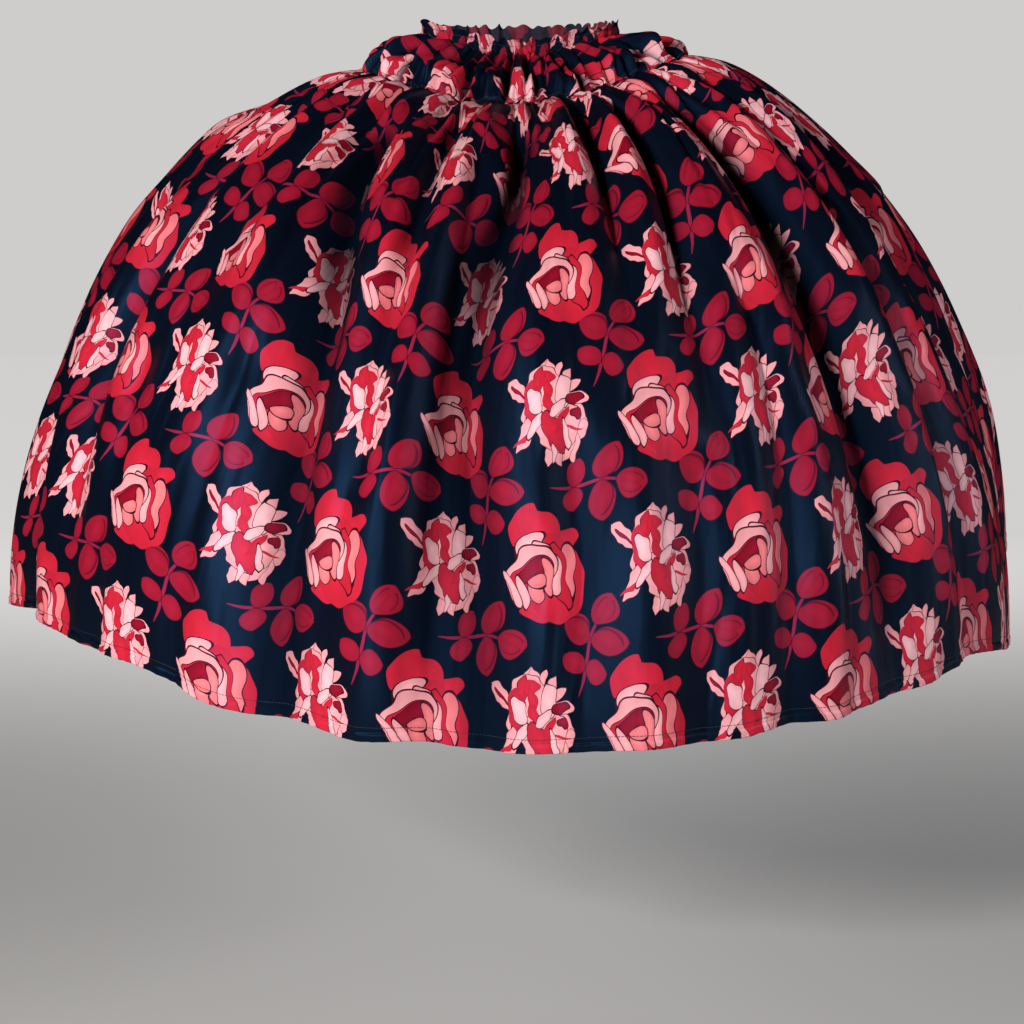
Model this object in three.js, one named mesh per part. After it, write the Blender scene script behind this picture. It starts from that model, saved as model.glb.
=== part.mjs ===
// A satin skirt as it hangs when worn: a gathered yoke on an elastic waist, and a full tier gathered
// on to the yoke's lower edge and spread over a petticoat, which is left out. Four pieces of cloth:
// a front and a back of each. Millimetres, +Z up, and the wearer faces -Y. The origin is the middle
// of the waist, at the height of the elastic over the hips.
import * as THREE from "three";

// Driving sizes
const WAIST = { width: 210, depth: 164, frontDrop: 24 };
const HEADER_HEIGHT = 9;
const ELASTIC_HEIGHT = 8;
const SEAM = { width: 352, depth: 296, sideways: 5, height: -35, lift: 8, frontDrop: 45, backDrop: 22 };
const YOKE_PUFF = 9;
const TIER_CLOTH = 1.8;
const YOKE_CLOTH = 1.6;
const HEM_CLOTH = 2.6;
const SEWN_GAP = 0.3;

// The tier's section, from the seam to the hem, is a quarter of a rounded arch with these powers.
const ARCH = { outward: 1.3, downward: 1.03, steps: 240 };

// How the hem hangs all round. Bearing 0 is the front and 90 the wearer's left side, at +X.
const HEM = [
  { bearing: 0, height: -673, reach: 545 },
  { bearing: 18, height: -668, reach: 544 },
  { bearing: 30, height: -660, reach: 544 },
  { bearing: 44, height: -648, reach: 543 },
  { bearing: 58, height: -633, reach: 544 },
  { bearing: 78, height: -656, reach: 540 },
  { bearing: 90, height: -614, reach: 552 },
  { bearing: 104, height: -570, reach: 578 },
  { bearing: 126, height: -584, reach: 572 },
  { bearing: 160, height: -610, reach: 556 },
  { bearing: 200, height: -618, reach: 550 },
  { bearing: 240, height: -608, reach: 552 },
  { bearing: 276, height: -618, reach: 557 },
  { bearing: 297, height: -602, reach: 553 },
  { bearing: 315, height: -616, reach: 549 },
  { bearing: 334, height: -652, reach: 546 },
  { bearing: 345, height: -662, reach: 545 },
];

// Gathers all round, at the waist and at the seam, and how far each stands out and in.
const GATHERS = { count: 36, atWaist: 2.5, inYoke: 4.2, atSeam: 3.6, inTier: 6.5, fadeShare: 0.16 };
const HEADER_RUFFLE = { out: 2.6, up: 1.8 };

// The tier's largest folds, as valleys: where each runs, how wide and deep it is, and its share of the
// way from the seam, 0, to the hem, 1, over which it shows. A last share over 1 still shows at the hem.
// The two rows with a depth below 0 stand out, as the shoulders at the sides.
const FOLDS = [
  { top: 1, middle: -6, hem: -3.5, halfWidth: 4.6, depth: 27, first: 0.02, last: 1.35 },
  { top: -7, middle: -13, hem: -14, halfWidth: 3.2, depth: 15, first: 0.2, last: 1.4 },
  { top: -19, middle: -18, hem: -20, halfWidth: 2.6, depth: 9, first: 0.02, last: 0.55 },
  { top: -38, middle: -26, hem: -25, halfWidth: 5.2, depth: 26, first: 0.04, last: 1.35 },
  { top: -50, middle: -47, hem: -44, halfWidth: 3.4, depth: 15, first: 0.02, last: 0.6 },
  { top: -66, middle: -61, hem: -56, halfWidth: 3.6, depth: 14, first: 0.04, last: 1.1 },
  { top: -84, middle: -77, hem: -71, halfWidth: 5.2, depth: 20, first: 0.3, last: 1.4 },
  { top: 17, middle: 14, hem: 12, halfWidth: 2.4, depth: 14, first: 0.02, last: 0.5 },
  { top: 8, middle: 5, hem: 6.5, halfWidth: 4, depth: 12, first: 0.55, last: 1.5 },
  { top: 28, middle: 22, hem: 19, halfWidth: 2.8, depth: 13, first: 0.02, last: 0.62 },
  { top: 20, middle: 19, hem: 18.5, halfWidth: 3.2, depth: 10, first: 0.6, last: 1.5 },
  { top: 34, middle: 31, hem: 28, halfWidth: 2.5, depth: 11, first: 0.35, last: 1.4 },
  { top: 46, middle: 43, hem: 43, halfWidth: 4.6, depth: 27, first: 0.02, last: 1.2 },
  { top: 60, middle: 56, hem: 57, halfWidth: 3, depth: 12, first: 0.02, last: 1.3 },
  { top: 74, middle: 69, hem: 68, halfWidth: 3.8, depth: 16, first: 0.05, last: 0.9 },
  { top: 88, middle: 86, hem: 87, halfWidth: 4.4, depth: 40, first: 0.3, last: 1.6 },
  { top: -90, middle: -86, hem: -84, halfWidth: 9, depth: -17, first: 0.09, last: 0.62 },
  { top: 82, middle: 83, hem: 82, halfWidth: 7, depth: -9, first: 0.22, last: 0.8 },
  { top: 100, middle: 103, hem: 112, halfWidth: 3.6, depth: 18, first: 0.03, last: 1.2 },
  { top: 116, middle: 121, hem: 124, halfWidth: 4.8, depth: 24, first: 0.03, last: 1.35 },
  { top: 131, middle: 134, hem: 138, halfWidth: 2.8, depth: 12, first: 0.02, last: 0.7 },
  { top: 143, middle: 147, hem: 149, halfWidth: 4.2, depth: 21, first: 0.05, last: 1.4 },
  { top: 160, middle: 161, hem: 164, halfWidth: 3, depth: 13, first: 0.02, last: 1.0 },
  { top: 173, middle: 176, hem: 178, halfWidth: 5, depth: 26, first: 0.03, last: 1.3 },
  { top: 189, middle: 190, hem: 192, halfWidth: 2.7, depth: 12, first: 0.02, last: 0.6 },
  { top: 203, middle: 202, hem: 204, halfWidth: 4.4, depth: 22, first: 0.05, last: 1.4 },
  { top: 219, middle: 217, hem: 216, halfWidth: 3, depth: 13, first: 0.02, last: 1.1 },
  { top: 232, middle: 231, hem: 229, halfWidth: 4.8, depth: 24, first: 0.04, last: 1.35 },
  { top: 247, middle: 247, hem: 246, halfWidth: 3, depth: 13, first: 0.02, last: 0.8 },
  { top: 260, middle: 261, hem: 261, halfWidth: 4.4, depth: 20, first: 0.08, last: 1.4 },
];
const FOLD_RISE = 0.16;
const FOLD_FALL = 0.45;

// How finely each piece is divided. A row of the tier is a share of the cloth's length.
const TIER_COLUMNS = 108;
const TIER_ROWS = [0, 0.035, 0.09, 0.17, 0.27, 0.38, 0.5, 0.63, 0.78, 0.985, 1];
const YOKE_COLUMNS = 126;
const YOKE_ROWS = ["edge", "elasticTop", "elasticFoot", 0.2, 0.45, 0.7, 0.9, 1];
const PROBE = 0.004;

const radians = THREE.MathUtils.degToRad;
const lerp = THREE.MathUtils.lerp;
const smooth = THREE.MathUtils.smoothstep;
const turnTo = (a, b) => THREE.MathUtils.euclideanModulo(a - b + 180, 360) - 180;
const frontness = (bearing) => Math.max(0, Math.cos(radians(bearing))) ** 2;
const backness = (bearing) => Math.max(0, -Math.cos(radians(bearing))) ** 2;

// The distance from the middle to an ellipse of the given width and depth.
function ellipseReach({ width, depth }, bearing) {
  const across = Math.sin(radians(bearing)) / (width / 2);
  const along = Math.cos(radians(bearing)) / (depth / 2);
  return 1 / Math.hypot(across, along);
}

const waistHeight = (bearing) => -WAIST.frontDrop * frontness(bearing);
const seamHeight = (bearing) =>
  SEAM.height +
  SEAM.lift * Math.sin(radians(bearing)) -
  SEAM.frontDrop * frontness(bearing) -
  SEAM.backDrop * backness(bearing);
const seamReach = (bearing) =>
  ellipseReach(SEAM, bearing) + SEAM.sideways * Math.sin(radians(bearing));

// The hem's height or reach at a bearing, eased from one row of HEM to the next.
function hemValue(column, bearing) {
  const at = THREE.MathUtils.euclideanModulo(bearing, 360);
  const next = HEM.findIndex((row) => row.bearing > at);
  const after = next < 0 ? { ...HEM[0], bearing: 360 } : HEM[next];
  const before = next < 0 ? HEM[HEM.length - 1] : HEM[next - 1];
  const share = (at - before.bearing) / (after.bearing - before.bearing);
  return lerp(before[column], after[column], (1 - Math.cos(Math.PI * share)) / 2);
}

function pointAt(bearing, reach, height) {
  const angle = radians(bearing);
  return new THREE.Vector3(reach * Math.sin(angle), -reach * Math.cos(angle), height);
}

// Gathers wander a little in spacing and depth, as hand-drawn gathers do. The result is from -1 to 1.
function gatherWave(bearing, lag) {
  const angle = radians(bearing);
  const wander = 1.1 * Math.sin(5 * angle + lag) + 0.8 * Math.sin(3 * angle + 2 * lag);
  const strength = 0.78 + 0.22 * Math.sin(7 * angle + 3 * lag);
  return strength * Math.cos(GATHERS.count * angle + wander);
}

// The arch's angle at each share of the cloth's length, measured along the middle section.
function archAngles() {
  const rise = SEAM.height - HEM[0].height;
  const run = HEM[0].reach - SEAM.width / 2;
  const lengths = [0];
  for (let step = 1; step <= ARCH.steps; step++) {
    const [before, now] = [step - 1, step].map((s) => {
      const angle = (Math.PI / 2) * (s / ARCH.steps);
      return [run * Math.sin(angle) ** ARCH.outward, rise * Math.cos(angle) ** ARCH.downward];
    });
    lengths.push(lengths[step - 1] + Math.hypot(now[0] - before[0], now[1] - before[1]));
  }
  return (share) => {
    const wanted = Math.min(1, Math.max(0, share)) * lengths[ARCH.steps];
    const step = Math.max(1, lengths.findIndex((length) => length >= wanted));
    const part = (wanted - lengths[step - 1]) / (lengths[step] - lengths[step - 1]);
    return (Math.PI / 2) * ((step - 1 + part) / ARCH.steps);
  };
}
const archAngle = archAngles();

// The tier's smooth form under its folds.
function tierForm(bearing, share) {
  const angle = archAngle(share);
  const outward = Math.sin(angle) ** ARCH.outward;
  const downward = Math.max(0, Math.cos(angle)) ** ARCH.downward;
  const reach = lerp(seamReach(bearing), hemValue("reach", bearing), outward);
  const height = lerp(hemValue("height", bearing), seamHeight(bearing), downward);
  return pointAt(bearing, reach, height);
}

// How far the tier's cloth lies in from its smooth form at a place.
function foldDepth(bearing, share) {
  let depth = 0;
  for (const fold of FOLDS) {
    const upper = lerp(fold.top, fold.middle, smooth(share, 0, 0.5));
    const centre = lerp(upper, fold.hem, smooth(share, 0.45, 1));
    const across = turnTo(bearing, centre) / fold.halfWidth;
    const start = smooth(share, fold.first, fold.first + FOLD_RISE);
    const end = 1 - smooth(share, fold.last - FOLD_FALL, fold.last);
    depth += fold.depth * Math.exp(-across * across) * start * end;
  }
  return depth;
}

// The direction out of a surface, from points a small step away on it.
function outwardOf(surface, bearing, share, step) {
  const before = Math.max(0, share - step);
  const after = Math.min(1, share + step);
  const down = surface(bearing, after).sub(surface(bearing, before));
  const turn = PROBE * 90;
  const round = surface(bearing + turn, share).sub(surface(bearing - turn, share));
  return down.cross(round).normalize();
}

// At the seam both pieces share one direction out, halfway between sideways and up.
const seamOut = (bearing) => pointAt(bearing, 1, 1).normalize();
const seamPoint = (bearing) =>
  pointAt(bearing, seamReach(bearing), seamHeight(bearing)).addScaledVector(
    seamOut(bearing),
    GATHERS.atSeam * gatherWave(bearing, 2),
  );

function tierPoint(bearing, share) {
  const out = share < PROBE ? seamOut(bearing) : outwardOf(tierForm, bearing, share, PROBE);
  const opened = smooth(share, 0, 0.06) * Math.exp(-share / GATHERS.fadeShare);
  const gathered = GATHERS.inTier * opened + GATHERS.atSeam * (1 - smooth(share, 0, 0.06));
  const wave = gatherWave(bearing, 2) * gathered;
  return tierForm(bearing, share).addScaledVector(out, wave - foldDepth(bearing, share));
}

// The yoke between the foot of the elastic and the seam, by the share of that way.
function yokePoint(bearing, share) {
  const foot = pointAt(bearing, ellipseReach(WAIST, bearing), waistHeight(bearing) - ELASTIC_HEIGHT / 2);
  const puff = YOKE_PUFF * Math.sin(Math.PI * share ** 1.25);
  const ruck = GATHERS.inYoke * Math.sin(Math.PI * share);
  const waves =
    GATHERS.atWaist * (1 - share) * gatherWave(bearing, 0.6) +
    GATHERS.atSeam * share * gatherWave(bearing, 2) +
    ruck * Math.cos(radians(17 * bearing) + 2 * Math.sin(radians(4 * bearing)));
  const seam = pointAt(bearing, seamReach(bearing), seamHeight(bearing));
  return foot.lerp(seam, share).addScaledVector(seamOut(bearing), puff + waves);
}

// The elastic band's two edges and the little frill above it.
function bandPoint(bearing, row) {
  const wave = gatherWave(bearing, 0.6);
  const reach = ellipseReach(WAIST, bearing) + GATHERS.atWaist * wave;
  const height = waistHeight(bearing);
  if (row === "elasticFoot") return pointAt(bearing, reach, height - ELASTIC_HEIGHT / 2);
  if (row === "elasticTop") return pointAt(bearing, reach, height + ELASTIC_HEIGHT / 2);
  const flick = gatherWave(bearing + 3, 1.7);
  return pointAt(
    bearing,
    reach + HEADER_RUFFLE.out,
    height + HEADER_HEIGHT + HEADER_RUFFLE.up * flick,
  );
}

// A closed wall of cloth: outer and inner points in rows from the top down, and the four edges.
function clothWall(rows, columns, pair) {
  const points = [];
  const faces = [];
  const width = columns + 1;
  const place = (side, row, column) => side * rows * width + row * width + column;
  const pairs = [];
  for (let row = 0; row < rows; row++)
    for (let column = 0; column < width; column++) pairs.push(pair(row, column));
  for (const side of ["outer", "inner"]) for (const p of pairs) points.push(...p[side].toArray());
  const quad = (a, b, c, d) => faces.push(a, b, c, a, c, d);
  for (let row = 0; row < rows - 1; row++)
    for (let column = 0; column < columns; column++) {
      const corners = (side) => [
        place(side, row, column),
        place(side, row + 1, column),
        place(side, row + 1, column + 1),
        place(side, row, column + 1),
      ];
      quad(...corners(0));
      quad(...corners(1).reverse());
    }
  for (let column = 0; column < columns; column++) {
    const foot = rows - 1;
    quad(place(0, 0, column), place(0, 0, column + 1), place(1, 0, column + 1), place(1, 0, column));
    quad(place(1, foot, column), place(1, foot, column + 1), place(0, foot, column + 1), place(0, foot, column));
  }
  for (let row = 0; row < rows - 1; row++) {
    quad(place(0, row, 0), place(1, row, 0), place(1, row + 1, 0), place(0, row + 1, 0));
    quad(place(1, row, columns), place(0, row, columns), place(0, row + 1, columns), place(1, row + 1, columns));
  }
  const geometry = new THREE.BufferGeometry();
  geometry.setAttribute("position", new THREE.Float32BufferAttribute(points, 3));
  geometry.setIndex(faces);
  geometry.computeVertexNormals();
  return geometry;
}

// The bearing of a column, with each end column half a sewn gap in from the side seam.
function columnBearing(from, to, column, columns, reach) {
  const inset = THREE.MathUtils.radToDeg(SEWN_GAP / 2 / reach);
  return lerp(from + inset, to - inset, column / columns);
}

// Moves a pair half a sewn gap along the cloth, up for the yoke and down for the tier.
function partAtSeam(pair, bearing, way) {
  const along = pointAt(bearing, -1, 1).normalize().multiplyScalar((way * SEWN_GAP) / 2);
  pair.outer.add(along);
  pair.inner.add(along);
  return pair;
}

function tierPiece(from, to) {
  return clothWall(TIER_ROWS.length, TIER_COLUMNS, (row, column) => {
    const share = TIER_ROWS[row];
    const reach = Math.hypot(...tierForm(from, share).toArray().slice(0, 2));
    const bearing = columnBearing(from, to, column, TIER_COLUMNS, reach);
    const outer = tierPoint(bearing, share);
    const out = row === 0 ? seamOut(bearing) : outwardOf(tierPoint, bearing, share, PROBE);
    const cloth = row < TIER_ROWS.length - 2 ? TIER_CLOTH : HEM_CLOTH;
    const inner = outer.clone().addScaledVector(out, -cloth);
    return row === 0 ? partAtSeam({ outer, inner }, bearing, -1) : { outer, inner };
  });
}

function yokePiece(from, to) {
  return clothWall(YOKE_ROWS.length, YOKE_COLUMNS, (row, column) => {
    const share = YOKE_ROWS[row];
    const banded = typeof share === "string";
    const reach = lerp(WAIST.width, SEAM.width, banded ? 0 : share) / 2;
    const bearing = columnBearing(from, to, column, YOKE_COLUMNS, reach);
    if (banded) {
      const turn = PROBE * 90;
      const round = bandPoint(bearing + turn, share).sub(bandPoint(bearing - turn, share));
      const out = new THREE.Vector3(round.y, -round.x, 0).normalize();
      if (share === "elasticFoot") out.z = 0.8;
      const outer = bandPoint(bearing, share);
      return { outer, inner: outer.clone().addScaledVector(out, -YOKE_CLOTH) };
    }
    const outer = share === 1 ? seamPoint(bearing) : yokePoint(bearing, share);
    const out = share === 1 ? seamOut(bearing) : outwardOf(yokePoint, bearing, share, PROBE);
    const inner = outer.clone().addScaledVector(out, -YOKE_CLOTH);
    return share === 1 ? partAtSeam({ outer, inner }, bearing, 1) : { outer, inner };
  });
}

const satin = new THREE.MeshStandardMaterial({ color: 0x1a1f2e, roughness: 0.35, metalness: 0 });
const skirt = new THREE.Group();

function addPiece(name, geometry) {
  const mesh = new THREE.Mesh(geometry, satin);
  mesh.name = name;
  skirt.add(mesh);
}

addPiece("yoke_front", yokePiece(-90, 90));
addPiece("yoke_back", yokePiece(90, 270));
addPiece("tier_front", tierPiece(-90, 90));
addPiece("tier_back", tierPiece(90, 270));

export default skirt;
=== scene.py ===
import math

import bmesh
import bpy
import numpy as np
from mathutils import Matrix, Vector


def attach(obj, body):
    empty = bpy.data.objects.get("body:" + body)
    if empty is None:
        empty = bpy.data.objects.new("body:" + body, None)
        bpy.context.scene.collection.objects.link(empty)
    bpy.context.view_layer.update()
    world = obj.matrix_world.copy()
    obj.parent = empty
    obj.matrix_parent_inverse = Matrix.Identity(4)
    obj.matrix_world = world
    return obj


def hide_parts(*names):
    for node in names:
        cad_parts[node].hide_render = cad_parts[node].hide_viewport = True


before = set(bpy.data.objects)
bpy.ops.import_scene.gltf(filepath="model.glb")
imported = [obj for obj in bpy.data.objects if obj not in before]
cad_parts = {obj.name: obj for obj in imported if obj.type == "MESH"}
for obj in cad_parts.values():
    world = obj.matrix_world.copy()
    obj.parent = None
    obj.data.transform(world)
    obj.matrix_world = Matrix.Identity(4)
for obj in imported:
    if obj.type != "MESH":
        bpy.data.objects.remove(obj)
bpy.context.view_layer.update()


# ---------------------------------------------------------------- Camera, floor and light
# The skirt is seen from the front, a little above the hem, from 2.6 m away. It hangs 0.37 m clear
# of a plain pale floor, and soft lights stand in front of it, at its right side and behind it.
camera_data = bpy.data.cameras.new("camera")
camera_data.sensor_width = 36
camera_data.lens = 82.3
camera = bpy.data.objects.new("camera", camera_data)
camera.location = (-0.009, -2.6, -0.154)
camera.rotation_euler = (math.radians(90 - 8.2), 0, 0)
bpy.context.scene.collection.objects.link(camera)
bpy.context.scene.camera = camera

FLOOR_HEIGHT = -1.04
ROOM_TONE = (0.62, 0.61, 0.6, 1)
floor_shape = bmesh.new()
bmesh.ops.create_grid(floor_shape, x_segments=2, y_segments=2, size=9)
bmesh.ops.translate(floor_shape, vec=(0, 0, FLOOR_HEIGHT), verts=floor_shape.verts)
floor_mesh = bpy.data.meshes.new("floor")
floor_shape.to_mesh(floor_mesh)
floor_shape.free()
floor = bpy.data.objects.new("floor", floor_mesh)
bpy.context.scene.collection.objects.link(floor)


def plug(tree, socket, value):
    """Joins an output to a socket, or sets the socket to a number, vector or colour."""
    if isinstance(value, bpy.types.NodeSocket):
        tree.links.new(value, socket)
    else:
        socket.default_value = value


def sum_of(tree, operation, first, second=0.0):
    """The result of a maths node on two numbers."""
    node = tree.nodes.new("ShaderNodeMath")
    node.operation = operation
    plug(tree, node.inputs[0], first)
    plug(tree, node.inputs[1], second)
    return node.outputs[0]


def vector_of(tree, operation, first, second=(0, 0, 0)):
    """The result of a vector maths node on two vectors."""
    node = tree.nodes.new("ShaderNodeVectorMath")
    node.operation = operation
    plug(tree, node.inputs[0], first)
    plug(tree, node.inputs[1], second)
    return node.outputs["Value" if operation == "LENGTH" else "Vector"]


# Far from the skirt the floor fades into the tone of the room behind it.
floor_finish = bpy.data.materials.new("pale floor")
floor_finish.use_nodes = True
floor_tree = floor_finish.node_tree
floor_shader = floor_tree.nodes["Principled BSDF"]
floor_shader.inputs["Base Color"].default_value = (0.5, 0.49, 0.48, 1)
floor_shader.inputs["Roughness"].default_value = 0.7
floor_shader.inputs["Emission Color"].default_value = ROOM_TONE
floor_place = floor_tree.nodes.new("ShaderNodeTexCoord")
far_off = floor_tree.nodes.new("ShaderNodeMapRange")
far_off.interpolation_type = "SMOOTHSTEP"
far_off.inputs["From Min"].default_value = 1.0
far_off.inputs["From Max"].default_value = 3.8
plug(floor_tree, far_off.inputs["Value"], vector_of(floor_tree, "LENGTH", floor_place.outputs["Object"]))
floor_ray = floor_tree.nodes.new("ShaderNodeLightPath")
glow = sum_of(floor_tree, "MULTIPLY", far_off.outputs[0], floor_ray.outputs["Is Camera Ray"])
plug(floor_tree, floor_shader.inputs["Emission Strength"], glow)
floor_mesh.materials.append(floor_finish)


def soft_light(name, place, target, size, power, tint):
    """A square soft light at a place, facing a target."""
    data = bpy.data.lights.new(name, "AREA")
    data.size = size
    data.energy = power
    data.color = tint
    light = bpy.data.objects.new(name, data)
    light.location = place
    away = np.array(place) - np.array(target)
    flat = math.hypot(away[0], away[1])
    light.rotation_euler = (math.atan2(flat, away[2]), 0, math.atan2(away[0], -away[1]))
    bpy.context.scene.collection.objects.link(light)


soft_light("front light", (-1.3, -2.6, 0.4), (-0.1, 0, -0.35), 0.4, 100, (1, 0.98, 0.96))
soft_light("right side light", (2.6, -0.8, 0.2), (0.25, 0, -0.35), 0.4, 22, (0.95, 0.97, 1))
soft_light("back light", (0, 2.9, 0.3), (0, 0, -0.4), 0.8, 32, (1, 1, 1))

# The camera sees a pale room, while the satin is lit by a dim one and keeps its dark folds.
room = bpy.data.worlds.new("pale room")
room.use_nodes = True
room_tree = room.node_tree
seen = room_tree.nodes["Background"]
seen.inputs["Color"].default_value = ROOM_TONE
lit = room_tree.nodes.new("ShaderNodeBackground")
lit.inputs["Color"].default_value = (0.8, 0.86, 1, 1)
lit.inputs["Strength"].default_value = 0.02
which_ray = room_tree.nodes.new("ShaderNodeLightPath")
room_mix = room_tree.nodes.new("ShaderNodeMixShader")
plug(room_tree, room_mix.inputs[0], which_ray.outputs["Is Camera Ray"])
plug(room_tree, room_mix.inputs[1], lit.outputs[0])
plug(room_tree, room_mix.inputs[2], seen.outputs[0])
plug(room_tree, room_tree.nodes["World Output"].inputs["Surface"], room_mix.outputs[0])
bpy.context.scene.world = room
bpy.context.scene.view_settings.view_transform = "Standard"


# ---------------------------------------------------------------- The printed satin
# Black-navy polyester satin, printed on one side with red and pink roses and crimson leaf sprigs in
# a half-drop repeat of 220 by 280 mm. The print is laid out in the cloth's own millimetres.
COLUMN_STEP = 110
ROW_STEP = 140
FIRST_ROW = 14


def screen_colour(red, green, blue):
    """A dye colour given as it looks on a screen, from 0 to 255."""
    parts = (red, green, blue)
    return tuple(((part / 255 + 0.055) / 1.055) ** 2.4 if part > 10 else part / 3294 for part in parts) + (1,)


GROUND = screen_colour(5, 9, 21)
RED = screen_colour(198, 34, 54)
DARK_RED = screen_colour(138, 12, 34)
PINK = screen_colour(236, 122, 128)
PALE_PINK = screen_colour(246, 164, 170)
WHITE_PINK = screen_colour(249, 184, 191)
LEAF = screen_colour(152, 22, 45)
LEAF_DARK = screen_colour(112, 12, 38)
STEM = screen_colour(140, 28, 60)
LINE = screen_colour(58, 4, 18)
PETALS_AT_ONCE = 14
PETAL_EDGE = 0.1


def group_of(name, inputs, outputs):
    """A new shader node group with its named sockets, and its input and output nodes."""
    group = bpy.data.node_groups.new(name, "ShaderNodeTree")
    for label, kind in inputs:
        group.interface.new_socket(name=label, in_out="INPUT", socket_type="NodeSocket" + kind)
    for label, kind in outputs:
        group.interface.new_socket(name=label, in_out="OUTPUT", socket_type="NodeSocket" + kind)
    return group, group.nodes.new("NodeGroupInput").outputs, group.nodes.new("NodeGroupOutput").inputs


def blend_of(tree, share, below, above):
    """A colour mixed from the one below and a share of the one above."""
    node = tree.nodes.new("ShaderNodeMix")
    node.data_type = "RGBA"
    plug(tree, node.inputs[0], share)
    plug(tree, node.inputs[6], below)
    plug(tree, node.inputs[7], above)
    return node.outputs[2]


def nearness(tree, place, middle, reach, angle):
    """1 at the middle of an oval, falling evenly to the petal edge's value at its outline, then to 0."""
    oval = tree.nodes.new("ShaderNodeTexGradient")
    oval.gradient_type = "SPHERICAL"
    oval.texture_mapping.vector_type = "TEXTURE"
    oval.texture_mapping.translation = (middle[0], middle[1], 0)
    oval.texture_mapping.rotation = (0, 0, angle)
    oval.texture_mapping.scale = (reach[0] / (1 - PETAL_EDGE), reach[1] / (1 - PETAL_EDGE), 1)
    plug(tree, oval.inputs[0], place)
    return oval.outputs["Fac"]


def print_motif(tree, below, place, rows, after=None):
    """Prints a motif's petals over the colours below, in millimetres of cloth. Each petal is an oval,
    or the lens where two ovals overlap if it has a point value, darker to its edge and with a thin
    line of dye round it. A shader has room for only a few petals at once, so each batch takes its
    place through the colour printed before it, which moves it by almost nothing."""
    for number, (x, y, long, wide, turn, point, fill, line) in enumerate(rows):
        if number % PETALS_AT_ONCE == 0 and after:
            batch = tree.nodes.new("ShaderNodeVectorMath")
            batch.operation = "MULTIPLY_ADD"
            plug(tree, batch.inputs[0], after)
            plug(tree, batch.inputs[1], (0.000001, 0.000001, 0))
            plug(tree, batch.inputs[2], place)
            place = batch.outputs[0]
        angle = math.radians(turn)
        size = math.hypot(1, point)
        reach = (long * size, wide * size / (size - point))
        if point:
            shift = point * wide / (size - point)
            aside = (-math.sin(angle) * shift, math.cos(angle) * shift)
            near = sum_of(
                tree, "MINIMUM",
                nearness(tree, place, (x + aside[0], y + aside[1]), reach, angle),
                nearness(tree, place, (x - aside[0], y - aside[1]), reach, angle),
            )
        else:
            near = nearness(tree, place, (x, y), reach, angle)
        ramp = tree.nodes.new("ShaderNodeValToRGB")
        plug(tree, ramp.inputs[0], near)
        edge_colour = [c * 0.8 for c in fill[:3]] + [1]
        stops = ramp.color_ramp.elements
        stops[0].position = PETAL_EDGE - 0.004
        stops[0].color = LINE[:3] + (0,)
        stops[1].position = 1
        stops[1].color = [min(1, c * 1.12) for c in fill[:3]] + [1]
        stops.new(PETAL_EDGE).color = LINE if line else edge_colour
        if line:
            inside = PETAL_EDGE + (1 - PETAL_EDGE) * line / min(long, wide) * (size - point) / size
            stops.new(inside).color = LINE
            stops.new(inside + 0.008).color = edge_colour
        below = blend_of(tree, ramp.outputs["Alpha"], below, ramp.outputs["Color"])
        after = below
    return below


# Petals from the back of each rose to its front: middle x and y, half length, half width, turn in
# degrees, how pointed, colour, and the width of its line.
ROUND_ROSE = [
    (19, 21, 12, 6.5, -15, 0.5, RED, 0.0),
    (-20, 31, 20, 12, 68, 0.5, RED, 0.0),
    (-7, 23, 26, 17, -45, 0.25, RED, 0.0),
    (-3, -36, 18, 11, 0, 0.4, RED, 0.0),
    (9, -11, 34, 28, 105, 0, RED, 0.0),
    (20, -6, 26, 10.5, 90, 0, PINK, 0.7),
    (13, -10, 28, 9, 105, 0.2, RED, 0.5),
    (-14, 15, 15, 7, 30, 0, PALE_PINK, 0.7),
    (-3, 11, 11, 6, -30, 0, PALE_PINK, 0.7),
    (8, -9, 17, 8, 105, 0, PALE_PINK, 0.7),
    (-14, -7, 26, 19, 45, 0, PALE_PINK, 0.8),
    (-13, -9, 20, 14.5, 45, 0, RED, 0.6),
    (-9, -4, 14, 11, 15, 0, DARK_RED, 0.5),
    (1, -10, 16, 4.6, 105, 0, PINK, 0.7),
    (-29, -18, 19, 4.6, 120, 0.25, PALE_PINK, 0.6),
    (-19, -21, 18, 4.2, 105, 0.35, PALE_PINK, 0.7),
    (-8, -20, 11, 7.5, 105, 0.2, PINK, 0.7),
    (-7, -15, 9, 4.6, -15, 0.3, PINK, 0.6),
]
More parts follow.
